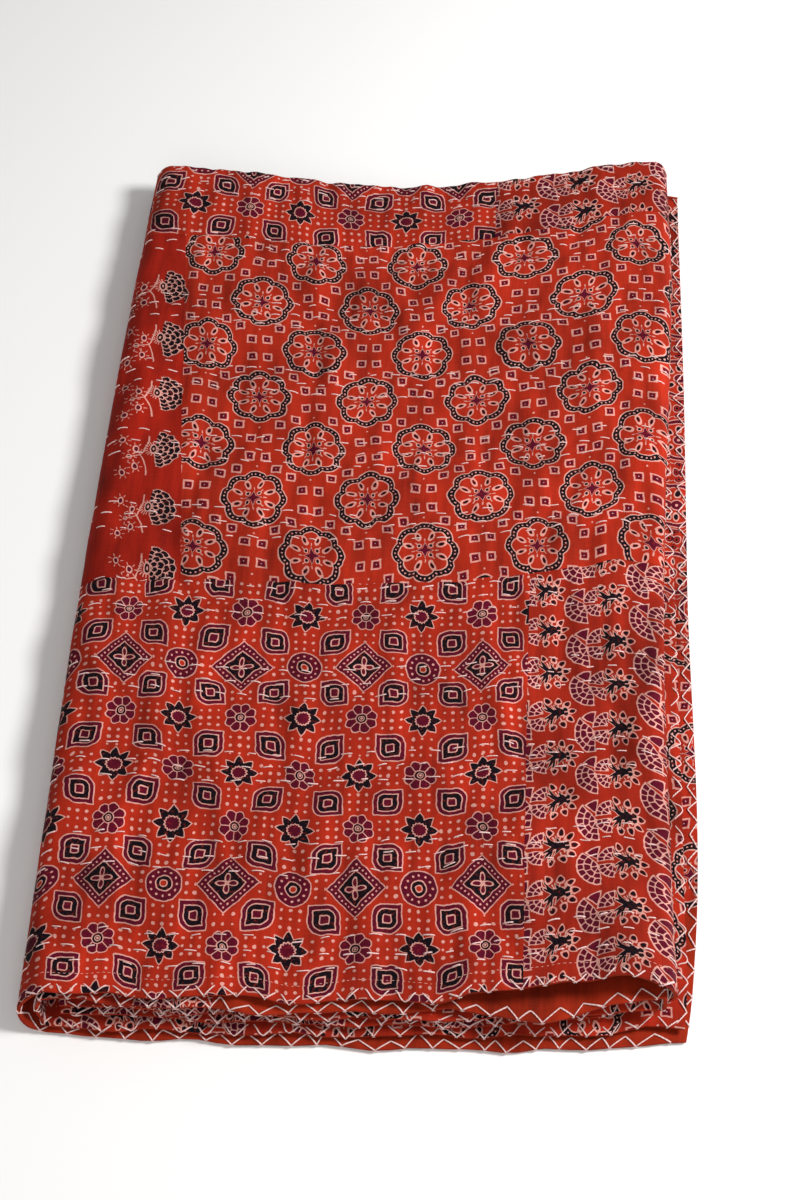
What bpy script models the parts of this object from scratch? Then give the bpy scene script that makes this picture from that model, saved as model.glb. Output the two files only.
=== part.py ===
"""Folded kantha quilt. Metres, +Z up, +X to the right and +Y to the back fold, standing on Z = 0.

The quilt is one stitched sheet. It is folded in half, reverse to reverse, with the fold at the back and
its two hems at the front. The doubled sheet, called the ribbon here, is then folded in three across:
its middle third lies on top, the right third is tucked inside and the left third wraps underneath.
That makes six plies. Both legs of the ribbon have a letter: A has its print outward, B inward.
"""

import math

import bmesh
import bpy
import numpy as np

# Cloth
CLOTH = 0.0025  # the stitched layers together
PLY_PITCH = 0.007  # height from one ply to the next where nothing lifts or presses them
PLIES = 6

# Where the three panels lie. The ribbon starts at its free end inside the stack.
INNER_END_X = -0.208  # free end of the middle panel
RIGHT_TURN_X = 0.2095  # centre of the turn from the middle panel to the top one
LEFT_TURN_X = -0.2185  # centre of the turn from the top panel to the bottom one
BOTTOM_END_X = 0.240  # free end of the bottom panel

# The plies' heights in the stack, counted in pitches up from the lowest one
MIDDLE_LEVEL = 2.5
TOP_LEVEL = 4.5
BOTTOM_LEVEL = 0.5

FRONT_Y = -0.392  # the foremost hem
LEG_LENGTH = 0.79  # flat length of one leg, hem to back fold

# How far each hem stays behind FRONT_Y, in millimetres, at these places across the stack
HEM_X = (-0.23, -0.04, 0.10, 0.16, 0.22)
#                 A: print outward            B: print inward
HEM_SETBACK = (
    ((12.0, 13.0, 20.0, 29.0, 40.0), (15.0, 15.0, 22.0, 28.0, 34.0)),  # middle panel
    ((19.0, 21.0, 41.0, 47.0, 46.0), (16.0, 16.0, 27.0, 31.0, 40.0)),  # top panel
    ((0.0, 1.5, 6.0, 9.0, 17.0), (3.0, 8.0, 21.0, 25.0, 34.0)),        # bottom panel
)

# The back fold bows, and its right corner is pushed out
BACK_FOLD = (
    (-0.24, 0.398),
    (-0.15, 0.398),
    (-0.05, 0.394),
    (0.05, 0.398),
    (0.13, 0.409),
    (0.19, 0.419),
    (0.24, 0.414),
)

# How far the side turns and the bottom panel's free end stand out along the stack, in millimetres
LEFT_BULGE = ((-0.39, -2.5), (-0.21, 1.5), (-0.05, 4.0), (0.12, 3.5), (0.28, 1.0), (0.41, -2.5))
RIGHT_BULGE = ((-0.39, 0.0), (-0.25, -2.0), (-0.06, -3.5), (0.07, 0.5), (0.17, 5.0), (0.29, 9.0), (0.41, 7.0))
LOWER_END_BULGE = ((-0.38, -11.0), (-0.35, -6.0), (-0.31, -2.0), (0.0, 0.5), (0.19, 2.5), (0.41, 2.0))
UPPER_END_BULGE = ((-0.38, -13.0), (-0.35, -10.0), (-0.27, -9.5), (0.0, -11.0), (0.19, -12.5), (0.41, -14.0))

# At the left turn the inner ply turns this much sooner than the outer one
INNER_TURN_STEP = 0.005

# Factors on the plies' heights: the stack is puffed at its turns and corners, and sinks between them
LOFT_X = (-0.23, -0.12, 0.0, 0.12, 0.21)
LOFT = (
    (-0.39, (1.00, 0.98, 0.96, 1.00, 1.05)),
    (0.00, (0.98, 0.89, 0.86, 0.89, 0.97)),
    (0.40, (1.08, 0.86, 0.72, 1.00, 1.30)),
)

# The top ply gapes at the front right, and the ply under it rises into its own turn
POCKET_LIFT = 0.013
POCKET = ((0.03, 0.0), (0.11, 0.75), (0.16, 1.0), (0.20, 0.85), (0.225, 0.3))
POCKET_DEPTH = 0.13
TURN_LIFT = 0.008
TURN_RISE = ((0.10, 0.0), (0.16, 0.45), (0.195, 1.0), (0.225, 0.6))
TURN_DEPTH = 0.07

# Rows of running stitch draw the cloth in across every leg
ROW_FIRST = 0.036  # first group of rows, from the hem
ROW_PITCH = 0.074
ROW_GROUPS = 10
ROW_PUFF = 0.0010  # how far the cloth stands up between the groups on the top ply
HEM_RIPPLE = 0.0012  # the hems' own waviness

# Mesh density
PANEL_CUTS = 8
TURN_CUTS = 6
BACK_CUTS = 4
PUFF_AT = (0.0, 0.34, 0.66)  # places between one group of rows and the next

COLOUR = (0.571, 0.021, 0.008, 1.0)
ROUGHNESS = 0.85


def smooth(places, values, at):
    """Value at a place on the smooth curve through these values at these places."""
    place, value = np.array(places), np.array(values)
    slope = np.gradient(value, place)
    k = np.clip(np.searchsorted(place, at) - 1, 0, len(place) - 2)
    span = place[k + 1] - place[k]
    f = np.clip((at - place[k]) / span, 0.0, 1.0)
    rise = 3 * f**2 - 2 * f**3
    ends = (f**3 - 2 * f**2 + f) * slope[k] + (f**3 - f**2) * slope[k + 1]
    return value[k] + rise * (value[k + 1] - value[k]) + ends * span


def along(pairs, at):
    """The same for a table of (place, value) pairs."""
    places, values = zip(*pairs)
    return smooth(places, values, at)


def ease(low, high, at):
    """0 below low, 1 above high and a soft step between."""
    f = np.clip((at - low) / (high - low), 0.0, 1.0)
    return f * f * (3 - 2 * f)


def flat_run(x_from, x_to, level, up, panel):
    """Stations along a flat panel: x, height, A side's direction across and up, and the panel's number."""
    places = np.linspace(x_from, x_to, PANEL_CUTS + 1)
    return [(x, level * PLY_PITCH, 0.0, up, panel) for x in places]


def half_turn(x, levels, outward, up, panel):
    """Stations between the ends of a half circle about x, from the first level to the second."""
    middle, radius = sum(levels) / 2 * PLY_PITCH, abs(levels[1] - levels[0]) / 2 * PLY_PITCH
    rows = []
    for share in np.linspace(0.0, 1.0, TURN_CUTS + 1)[1:-1]:
        rise = -up * math.cos(math.pi * share)
        across = outward * math.sin(math.pi * share)
        rows.append((x + radius * across, middle + radius * rise, across, rise, panel + share))
    return rows


def ribbon_stations():
    """The ribbon's middle line seen from the front. Panels count 0, 1, 2 for middle, top and bottom."""
    rows = flat_run(INNER_END_X, RIGHT_TURN_X, MIDDLE_LEVEL, -1.0, 0.0)
    rows += half_turn(RIGHT_TURN_X, (MIDDLE_LEVEL, TOP_LEVEL), 1.0, 1.0, 0.0)
    rows += flat_run(RIGHT_TURN_X, LEFT_TURN_X, TOP_LEVEL, 1.0, 1.0)
    rows += half_turn(LEFT_TURN_X, (TOP_LEVEL, BOTTOM_LEVEL), -1.0, -1.0, 1.0)
    rows += flat_run(LEFT_TURN_X, BOTTOM_END_X, BOTTOM_LEVEL, -1.0, 2.0)
    return np.array(rows)


def leg_stations():
    """Stations from hem A over the back fold to hem B: flat distance from the hem, and where in the fold."""
    puffs = [ROW_FIRST + ROW_PITCH * (k + part) for k in range(ROW_GROUPS) for part in PUFF_AT]
    leg = [0.0, ROW_FIRST / 2] + [b for b in puffs if b < LEG_LENGTH - ROW_PITCH / 4]
    rows = [(b, 1.0, 0.0) for b in leg]
    rows += [(LEG_LENGTH, math.cos(a), math.sin(a)) for a in np.linspace(0.0, math.pi, BACK_CUTS + 1)]
    rows += [(b, -1.0, 0.0) for b in reversed(leg)]
    return np.array(rows)


def hem_line(x, panel, side):
    """Y of the hem, where side is 1 on ply A and -1 on ply B."""
    setback = 0.0
    for k, (ply_a, ply_b) in enumerate(HEM_SETBACK):
        share = np.clip(1 - abs(panel - k), 0.0, 1.0)
        setback = setback + share * np.where(side > 0, smooth(HEM_X, ply_a, x), smooth(HEM_X, ply_b, x))
    phase = 2.1 * panel - 0.65 * side
    ripple = np.sin(x * 71 + phase) + 0.6 * np.sin(x * 123 + 2.7 * phase)
    return FRONT_Y + setback / 1000 + HEM_RIPPLE * ripple


def side_bulge(x, y, panel, side):
    """How far a place moves out with the side turn or free end that it is near."""
    free_end = np.where(side > 0, along(LOWER_END_BULGE, y), along(UPPER_END_BULGE, y))
    right = np.where(panel < 1.5, along(RIGHT_BULGE, y), free_end)
    return (ease(0.05, 0.2, x) * right - ease(0.05, 0.2, -x) * along(LEFT_BULGE, y)) / 1000


def loft(x, y):
    """Factor on the plies' heights at a place in plan."""
    front, middle, back = (smooth(LOFT_X, factors, x) for _, factors in LOFT)
    front_y, middle_y, back_y = (place for place, _ in LOFT)
    towards_front = ease(-middle_y, -front_y, -y)
    towards_back = ease(middle_y, back_y, y)
    return middle + towards_front * (front - middle) + towards_back * (back - middle)


def front_lift(x, behind_hem, level):
    """How far the plies gape at the front right."""
    pocket = along(POCKET, x) * (1 - ease(0.0, POCKET_DEPTH, behind_hem)) * ease(4.1, 5.0, level)
    rise = along(TURN_RISE, x) * (1 - ease(0.0, TURN_DEPTH, behind_hem)) * ease(3.1, 4.0, level)
    return POCKET_LIFT * pocket + TURN_LIFT * rise


def unevenness(x, flat, panel, level):
    """Puffs between the rows of stitching and the hems' waves. The lowest ply lies flat."""
    between_rows = 1 - np.cos((flat - ROW_FIRST) / ROW_PITCH * 2 * math.pi)
    puff = ROW_PUFF / 2 * between_rows * level / (PLIES - 1)
    wave = np.sin(x * 64 + 2 * panel) * (1 - ease(0.0, 0.1, flat)) * ease(0.0, 1.0, level)
    return puff + HEM_RIPPLE / 2 * wave


def folded(ribbon, leg):
    """Places on the sheet's middle surface for arrays of ribbon and leg stations."""
    x, height, across, up, panel = ribbon.T
    flat, side, behind = leg.T
    reach = PLY_PITCH / 2
    level = (height + reach * side * up) / PLY_PITCH
    left_turn = ease(1.0, 1.3, panel) * ease(-2.0, -1.7, -panel)
    x = x + reach * side * across + INNER_TURN_STEP * left_turn * (1 - side) / 2

    hem = hem_line(x, panel, side)
    y = hem + (along(BACK_FOLD, x) - hem) * flat / LEG_LENGTH + reach * behind
    x = x + side_bulge(x, y, panel, side)
    z = level * PLY_PITCH * loft(x, y) + front_lift(x, y - hem, level) + unevenness(x, flat, panel, level)
    return np.column_stack((x, y, z + CLOTH / 2))


def quilt_cloth(collection, material):
    """The one sheet, as a grid carried to its folded place and thickened."""
    ribbon = ribbon_stations()
    leg = leg_stations()
    bm = bmesh.new()
    bmesh.ops.create_grid(bm, x_segments=len(ribbon) - 1, y_segments=len(leg) - 1, size=0.5)
    cells = np.array([vert.co[:2] for vert in bm.verts]) + 0.5
    i = np.rint(cells[:, 0] * (len(ribbon) - 1)).astype(int)
    j = np.rint(cells[:, 1] * (len(leg) - 1)).astype(int)
    for vert, place in zip(bm.verts, folded(ribbon[i], leg[j])):
        vert.co = place
    mesh = bpy.data.meshes.new("quilt_cloth")
    bm.to_mesh(mesh)
    bm.free()
    mesh.shade_smooth()
    mesh.materials.append(material)

    quilt = bpy.data.objects.new("quilt_cloth", mesh)
    collection.objects.link(quilt)
    thickness = quilt.modifiers.new("Cloth thickness", "SOLIDIFY")
    thickness.thickness = CLOTH
    thickness.offset = 0.0
    return quilt


def centre_on_floor(quilt):
    """Brings the origin to the middle of the stack's footprint, on the floor."""
    solid = quilt.evaluated_get(bpy.context.evaluated_depsgraph_get()).data
    places = np.array([vert.co for vert in solid.vertices])
    low, high = places.min(axis=0), places.max(axis=0)
    for vert in quilt.data.vertices:
        vert.co.x -= (low[0] + high[0]) / 2
        vert.co.y -= (low[1] + high[1]) / 2
        vert.co.z -= low[2]


def cotton():
    material = bpy.data.materials.new("Printed cotton")
    material.use_nodes = True
    shader = material.node_tree.nodes["Principled BSDF"]
    shader.inputs["Base Color"].default_value = COLOUR
    shader.inputs["Roughness"].default_value = ROUGHNESS
    shader.inputs["Metallic"].default_value = 0.0
    return material


for old in list(bpy.data.objects):
    bpy.data.objects.remove(old, do_unlink=True)

parts = bpy.data.collections.new("kantha_quilt")
bpy.context.scene.collection.children.link(parts)
centre_on_floor(quilt_cloth(parts, cotton()))
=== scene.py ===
from functools import partial, reduce
from math import cos, pi, radians, sin

import bmesh
import bpy
import numpy as np
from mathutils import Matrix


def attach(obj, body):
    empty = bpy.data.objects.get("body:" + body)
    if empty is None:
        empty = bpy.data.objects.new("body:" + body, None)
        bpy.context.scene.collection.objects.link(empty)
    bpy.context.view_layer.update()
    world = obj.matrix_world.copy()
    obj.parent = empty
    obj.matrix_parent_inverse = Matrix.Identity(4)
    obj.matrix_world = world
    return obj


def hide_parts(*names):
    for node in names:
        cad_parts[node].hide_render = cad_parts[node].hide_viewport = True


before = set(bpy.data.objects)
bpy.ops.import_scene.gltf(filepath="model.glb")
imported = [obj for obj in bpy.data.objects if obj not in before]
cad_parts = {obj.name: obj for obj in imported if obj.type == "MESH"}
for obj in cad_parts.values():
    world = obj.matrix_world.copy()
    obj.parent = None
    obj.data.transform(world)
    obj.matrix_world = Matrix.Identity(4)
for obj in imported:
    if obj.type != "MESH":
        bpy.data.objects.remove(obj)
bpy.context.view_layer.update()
scene = bpy.context.scene


# The sheet is folded in half, reverse to reverse, with that fold at the back, then in three across.
# Flat places on it are across (0 at the middle of the top panel) and along (0 at one hem).
# Side A of the halved sheet has its print outward, side B inward.
sheet = {
    "thickness": 0.0025,
    "plyPitch": 0.007,
    "plies": 6,
    "rightTurn": 0.2095,
    "leftTurn": -0.2185,
    "innerEnd": -0.208,
    "bottomEnd": 0.240,
    "frontHem": -0.392,
    "leg": 0.79,
    "toCentre": (-0.000593, -0.015490),
    # how far each hem stays behind the foremost one, in mm: middle, top and bottom panel, side A then B
    "hemAt": (-0.23, -0.04, 0.10, 0.16, 0.22),
    "hemSetback": (
        ((12, 13, 20, 29, 40), (15, 15, 22, 28, 34)),
        ((19, 21, 41, 47, 46), (16, 16, 27, 31, 40)),
        ((0, 1.5, 6, 9, 17), (3, 7, 14, 17, 26)),
    ),
    # and how much lower the top panel's two hems hang near their edges, in mm, side A then B
    "hemFallAt": (-0.16, -0.08, -0.03, 0.01, 0.065, 0.105, 0.145, 0.175, 0.22),
    "hemFall": ((0, -4, 0, 2, 8.5, 7, 4.5, 4, 4), (0, 0, 0, 0, 1, 7, 9, 2, 0)),
    "hemFallDepth": 0.09,
    "backFoldX": (-0.24, -0.15, -0.05, 0.05, 0.13, 0.19, 0.24),
    "backFoldY": (0.398, 0.398, 0.394, 0.398, 0.409, 0.419, 0.414),
    # how far the turns and the free end stand out along the stack, in mm
    "leftBulge": ((-0.39, -2.5), (-0.21, 1.5), (-0.05, 4), (0.12, 3.5), (0.28, 1), (0.41, -2.5)),
    "rightBulge": ((-0.39, 0), (-0.25, -2), (-0.06, -3.5), (0.07, 0.5), (0.17, 5), (0.29, 9), (0.41, 7)),
    "lowerEndBulge": ((-0.38, -11), (-0.35, -6), (-0.31, -2), (0, 0.5), (0.19, 2.5), (0.41, 2)),
    "upperEndBulge": ((-0.38, -13), (-0.35, -10), (-0.27, -9.5), (0, -11), (0.19, -12.5), (0.41, -14)),
    "innerTurnStep": 0.005,
    # factors on the plies' heights, front to back
    "loftAt": (-0.23, -0.12, 0, 0.12, 0.21),
    "loft": (
        (-0.39, (1.00, 0.98, 0.96, 1.00, 1.05)),
        (0, (0.98, 0.89, 0.86, 0.89, 0.97)),
        (0.40, (1.08, 0.86, 0.72, 1.00, 1.30)),
    ),
    # the top ply gapes at the front right
    "pocketLift": 0.013,
    "pocket": ((0.03, 0), (0.11, 0.75), (0.16, 1), (0.20, 0.85), (0.225, 0.3)),
    "pocketDepth": 0.13,
    "turnLift": 0.008,
    "turnRise": ((0.10, 0), (0.16, 0.45), (0.195, 1), (0.225, 0.6)),
    "turnDepth": 0.07,
    # the quilting's puffs and puckers
    "groupFirst": 0.036,
    "groupPitch": 0.074,
    "rowPitch": 0.01233,
    "rowWidth": 0.0034,
    "rowDip": 0.0009,
    "puff": 0.0010,
    "pucker": 0.0007,
    "puckerReach": 0.021,
    "wrinkle": 0.0030,
    "seamWidth": 0.0024,
    "seamDip": 0.0009,
    "hemRipple": 0.0012,
    # how far the lowest face stands off the floor at its stitches and within these places from a hem
    "underRise": 0.0011,
    "underHem": (0.010, 0.016),
    # the hems' rounding, and the usual setback of the top hem
    "hemRound": 0.0009,
    "usualSetback": 0.02,
}
pitch, leg, leftTurn, rightTurn = (sheet[name] for name in ("plyPitch", "leg", "leftTurn", "rightTurn"))
rightArc, leftArc, backArc = pi * pitch, 2 * pi * pitch, pi * pitch / 2
alongEnd = 2 * leg + backArc
acrossLow = leftTurn - leftArc - (sheet["bottomEnd"] - leftTurn)
acrossHigh = rightTurn + rightArc + (rightTurn - sheet["innerEnd"])
rng = np.random.default_rng(41)

# the patchwork's seams, as flat places: none of them runs quite straight
seams = {
    "front": 0.343,
    "frontBowAt": (-0.24, -0.18, -0.13, -0.04, 0.11, 0.18, 0.24),
    "frontBow": (0, 0.002, 0.007, 0.008, 0.0075, 0.014, 0.017),
    "back": 0.719,
    "backSlope": 0.05,
    "lotus": -0.1775,
    "lotusSlope": -0.11,
    "reach": 0.05,
}


def smooth(places, values, at):
    # the smooth curve through these values at these places
    place, value = np.array(places, float), np.array(values, float)
    slope = np.gradient(value, place)
    k = np.clip(np.searchsorted(place, at) - 1, 0, len(place) - 2)
    span = place[k + 1] - place[k]
    f = np.clip((at - place[k]) / span, 0, 1)
    ends = (f**3 - 2 * f**2 + f) * slope[k] + (f**3 - f**2) * slope[k + 1]
    return value[k] + (3 * f**2 - 2 * f**3) * (value[k + 1] - value[k]) + ends * span


def follow(pairs, at):
    return smooth(*zip(*pairs), at)


def ease(low, high, at):
    f = np.clip((at - low) / (high - low), 0, 1)
    return f * f * (3 - 2 * f)


def hemLine(x, panel, side):
    setback = 0
    for k, sides in enumerate(sheet["hemSetback"]):
        sideA, sideB = (smooth(sheet["hemAt"], values, x) for values in sides)
        setback = setback + np.clip(1 - abs(panel - k), 0, 1) * np.where(side > 0, sideA, sideB)
    phase = 2.1 * panel - 0.65 * side
    ripple = np.sin(x * 71 + phase) + 0.6 * np.sin(x * 123 + 2.7 * phase)
    return sheet["frontHem"] + setback / 1000 + sheet["hemRipple"] * ripple


def hemFall(x, flat, panel, side):
    sideA, sideB = (smooth(sheet["hemFallAt"], fall, x) for fall in sheet["hemFall"])
    onTop = np.clip(1 - abs(panel - 1), 0, 1) * (1 - ease(0, sheet["hemFallDepth"], flat))
    return np.where(side > 0, sideA, sideB) * onTop / 1000


def sideBulge(x, y, panel, side):
    freeEnd = np.where(side > 0, follow(sheet["lowerEndBulge"], y), follow(sheet["upperEndBulge"], y))
    right = np.where(panel < 1.5, follow(sheet["rightBulge"], y), freeEnd)
    return (ease(0.05, 0.2, x) * right - ease(0.05, 0.2, -x) * follow(sheet["leftBulge"], y)) / 1000


def loftAt(x, y):
    front, middle, back = (smooth(sheet["loftAt"], factors, x) for _, factors in sheet["loft"])
    frontY, middleY, backY = (place for place, _ in sheet["loft"])
    return middle + ease(-middleY, -frontY, -y) * (front - middle) + ease(middleY, backY, y) * (back - middle)


def frontLift(x, behindHem, level):
    pocket = follow(sheet["pocket"], x) * (1 - ease(0, sheet["pocketDepth"], behindHem)) * ease(4.1, 5, level)
    rise = follow(sheet["turnRise"], x) * (1 - ease(0, sheet["turnDepth"], behindHem)) * ease(3.1, 4, level)
    return sheet["pocketLift"] * pocket + sheet["turnLift"] * rise


def seamShifts(across, along):
    # how far the front, back and lotus seams are from their usual places here
    middle = (seams["front"] + seams["back"]) / 2
    front = smooth(seams["frontBowAt"], seams["frontBow"], across)
    back = seams["backSlope"] * np.clip(across, -0.22, 0.22)
    lotus = seams["lotusSlope"] * (np.clip(along, seams["front"], seams["back"]) - middle)
    return front, back, lotus


def fromSeams(across, along):
    # how far a place is from the front, back and lotus seams
    front, back, lotus = seamShifts(across, along)
    front, back, lotus = front + seams["front"], back + seams["back"], lotus + seams["lotus"]
    inRow = (along > front) & (along < back)
    return abs(along - front), abs(along - back), np.where(inRow, abs(across - lotus), 1)


def wrinkles(across, along):
    # long soft troughs from front to back, crossed by a few short ones, stronger in some places
    here = 0.65 + 0.35 * np.sin(across * 17 + 2.1 * np.sin(along * 13)) * np.sin(along * 19 + 1.2)
    bend = 0.9 * np.sin(along * 21 + 3 * across) + 0.5 * np.sin(along * 47 + 1.9)
    long = np.sin(across * 173 + bend * 2) + 0.8 * np.sin(across * 118 - 1.6 * bend + 0.7)
    long = long + 0.5 * np.sin(across * 251 + 3 * bend)
    short = np.sin(across * 97 + 53 * along + 1.3) * np.sin(along * 88 - 31 * across)
    short = short + 0.6 * np.sin(across * 29 + 71 * along)
    return sheet["wrinkle"] * here * (0.42 * long + 0.34 * short)


def quilting(across, along, flat, panel, level):
    # puffs between the groups of rows, a dip at each row with its stitches' puckers, and wrinkles
    intoGroup = (flat - sheet["groupFirst"]) / sheet["groupPitch"]
    puff = sheet["puff"] / 2 * (1 - np.cos(2 * pi * intoGroup))
    fromGroup = (intoGroup - np.round(intoGroup)) * sheet["groupPitch"]
    row = np.clip(np.round(fromGroup / sheet["rowPitch"]), -1, 1)
    atRow = np.exp(-(((fromGroup - row * sheet["rowPitch"]) / sheet["rowWidth"]) ** 2))
    slack = np.sin(across * 357 + 2.4 * row + 5 * np.round(intoGroup) + 1.5 * np.sin(across * 41 + row))
    nearRows = np.exp(-((fromGroup / sheet["puckerReach"]) ** 2))
    seam = sum(np.exp(-((away / sheet["seamWidth"]) ** 2)) for away in fromSeams(across, along))
    fine = wrinkles(across, along) - sheet["rowDip"] * atRow + sheet["pucker"] * slack * (0.25 + nearRows)
    fine = fine - sheet["seamDip"] * np.minimum(seam, 1)
    wave = np.sin(across * 64 + 2 * panel) * (1 - ease(0, 0.1, flat)) * ease(0, 1, level)
    fromEdge = np.minimum(flat, across - acrossLow)
    under = np.maximum(atRow, 1 - ease(*sheet["underHem"], fromEdge)) * (1 - ease(0, 1, level))
    stack = (puff + fine) * level / (sheet["plies"] - 1)
    return stack + sheet["hemRipple"] / 2 * wave + sheet["underRise"] * under


def clothPlace(across, along):
    # where a flat place on the sheet's middle surface lies in the folded stack
    turnR = np.clip((across - rightTurn) / rightArc, 0, 1) * pi
    turnL = np.clip((leftTurn - across) / leftArc, 0, 1) * pi
    x = np.clip(across, leftTurn, rightTurn)
    pastRight = np.maximum(across - rightTurn - rightArc, 0)
    pastLeft = np.maximum(leftTurn - leftArc - across, 0)
    x = x - pastRight + pastLeft + pitch * np.sin(turnR) - 2 * pitch * np.sin(turnL)
    height = 1.5 + np.cos(turnR) + 2 * np.cos(turnL)
    outX, outZ = np.sin(turnR) - np.sin(turnL), np.cos(turnR) * np.cos(turnL)
    panel = 1 - turnR / pi + turnL / pi

    flat = np.minimum(np.minimum(along, alongEnd - along), leg)
    turnB = np.clip((along - leg) / backArc, 0, 1) * pi
    side, behind = np.cos(turnB), np.sin(turnB)
    level = height + side * outZ / 2
    atLeftTurn = ease(1, 1.3, panel) * ease(-2, -1.7, -panel)
    x = x + pitch / 2 * side * outX + sheet["innerTurnStep"] * atLeftTurn * (1 - side) / 2

    hem = hemLine(x, panel, side)
    back = smooth(sheet["backFoldX"], sheet["backFoldY"], x)
    y = hem + (back - hem) * flat / leg + pitch / 2 * behind - hemFall(x, flat, panel, side)
    x = x + sideBulge(x, y, panel, side)
    z = level * pitch * loftAt(x, y) + frontLift(x, y - hem, level) + sheet["thickness"] / 2
    z = z + quilting(across, along, flat, panel, level)
    return np.column_stack((x + sheet["toCentre"][0], y + sheet["toCentre"][1], z))


def onFace(across, along, face, height):
    # a place this high over the sheet's print face (face 1) or its reverse (face -1)
    step = 0.0006
    acrossWay = clothPlace(across + step, along) - clothPlace(across - step, along)
    alongWay = clothPlace(across, along + step) - clothPlace(across, along - step)
    out = np.cross(acrossWay, alongWay)
    out /= np.linalg.norm(out, axis=1)[:, None]
    return clothPlace(across, along) + out * (face * (sheet["thickness"] / 2 + height))[:, None]


def toLinear(code):
    parts = [int(code[k : k + 2], 16) / 255 for k in (1, 3, 5)]
    return [c / 12.92 if c <= 0.04045 else ((c + 0.055) / 1.055) ** 2.4 for c in parts] + [1.0]


mathKinds = set(bpy.types.ShaderNodeMath.bl_rna.properties["operation"].enum_items.keys())


def addNode(tree, kind, *inputs, out=0, named=(), stops=(), **settings):
    # kind is a shader node's name, or one of the Math node's operations
    node = tree.nodes.new("ShaderNode" + ("Math" if kind in mathKinds else kind))
    if kind in mathKinds:
        node.operation = kind
    for name, value in settings.items():
        setattr(node, name, value)
    for place, value in [*enumerate(inputs), *dict(named).items()]:
        if isinstance(value, bpy.types.NodeSocket):
            tree.links.new(value, node.inputs[place])
        elif value is not None:
            node.inputs[place].default_value = value
    for k, (place, colour) in enumerate(stops):
        points = node.color_ramp.elements
        point = points[k] if k < 2 else points.new(place)
        point.position, point.color = place, colour
    return node.outputs[out] if node.outputs else None


def vec(n, operation, *inputs):
    # a length and a dot product come out of the node's second socket
    out = int(operation in ("LENGTH", "DOT_PRODUCT"))
    return n("VectorMath", *inputs, operation=operation, out=out)


def noise(n, place, scale, detail=2.0, out=0):
    return n("TexNoise", place, named={"Scale": scale, "Detail": detail}, out=out)


def newMaterial(name):
    material = bpy.data.materials.new(name)
    material.use_nodes = True
    material.node_tree.nodes.clear()
    return material, partial(addNode, material.node_tree)


def newObject(name, data):
    thing = bpy.data.objects.new(name, data)
    scene.collection.objects.link(thing)
    return thing


def meshFrom(bm, name):
    mesh = bpy.data.meshes.new(name)
    bm.to_mesh(mesh)
    bm.free()
    return mesh


# inks, as the grey that stands for each until the last ramp colours them
ground, maroon, black, cream = 0.0, 1 / 3, 2 / 3, 1.0


def inkBands(n, distance, first, *bands):
    # the first ink, each band's ink from its distance in mm on, and the ground from the last distance on
    bands = (*bands[:-1], (bands[-1], ground))
    low, high = bands[0][0] - 0.5, bands[-1][0] + 0.5
    stops = [(0.0, (first,) * 3 + (1,))]
    stops += [((at - low) / (high - low), (ink,) * 3 + (1,)) for at, ink in bands]
    node = n("ValToRGB", n("MapRange", distance, low, high), stops=stops)
    node.node.color_ramp.interpolation = "CONSTANT"
    return node


def mostOf(n, *inks):
    return reduce(partial(n, "MAXIMUM"), inks)


def darkened(n, colour, shade):
    grey = n("CombineColor", shade, shade, shade)
    return n("Mix", 1.0, named={6: colour, 7: grey}, data_type="RGBA", blend_type="MULTIPLY", out=2)


def spread(n, a, b):
    # length of the flat vector (a, b)
    return vec(n, "LENGTH", n("CombineXYZ", a, b, 0.0))


def axes(n, vector):
    return n("SeparateXYZ", vector).node.outputs[:2]


def fanBlossom(
    n, place, apex, facing, halfSpan, radius, ring, cells, ink, scallop=0, widening=0, line=0.42, narrowing=0
):
    # rings of rounded cells about an apex with cream lines between them; angles in degrees, sizes in mm
    way, span = radians(facing), radians(2 * halfSpan)
    local = vec(n, "SUBTRACT", place, (*apex, 0))
    ahead = vec(n, "DOT_PRODUCT", local, (cos(way), sin(way), 0))
    beside = vec(n, "DOT_PRODUCT", local, (-sin(way), cos(way), 0))
    angle = n("ARCTAN2", beside, ahead)
    distance = vec(n, "LENGTH", local)
    if narrowing:
        distance = n("MULTIPLY_ADD", n("SUBTRACT", distance, ahead), narrowing, distance)
    ringNumber = n("FLOOR", n("DIVIDE", n("SUBTRACT", radius, distance), ring))
    halfCell = n("MULTIPLY_ADD", ringNumber, widening * span / cells / 2, span / cells / 2)
    fromSide = n("PINGPONG", n("ADD", angle, span / 2), halfCell)
    lobed = distance
    if scallop:
        lobed = n("MULTIPLY_ADD", n("DIVIDE", fromSide, halfCell), -scallop, n("ADD", distance, scallop))
    ringGap = n("PINGPONG", n("SUBTRACT", lobed, radius), ring / 2)
    sideGap = n("MULTIPLY", fromSide, distance)
    gap = n("DIVIDE", n("MULTIPLY", ringGap, sideGap), n("ADD", ringGap, sideGap))
    inReach = n("LESS_THAN", lobed, radius + 0.7)
    inSpan = n("LESS_THAN", n("ABSOLUTE", angle), span / 2 + 0.05)
    cellInk = n("Mix", n("GREATER_THAN", gap, line), None, cream, ink)
    return n("MULTIPLY", cellInk, n("MULTIPLY", inReach, inSpan))


def fromSpoke(n, angle, r, count):
    # how far a place is from the nearest of this many even spokes
    return n("MULTIPLY", n("PINGPONG", angle, pi / count), r)


def rays(n, angle, r, count, halfWidth, low, high):
    # short cream strokes round a point
    inReach = n("COMPARE", r, (low + high) / 2, (high - low) / 2)
    return n("MULTIPLY", n("LESS_THAN", fromSpoke(n, angle, r, count), halfWidth), inReach)


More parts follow.
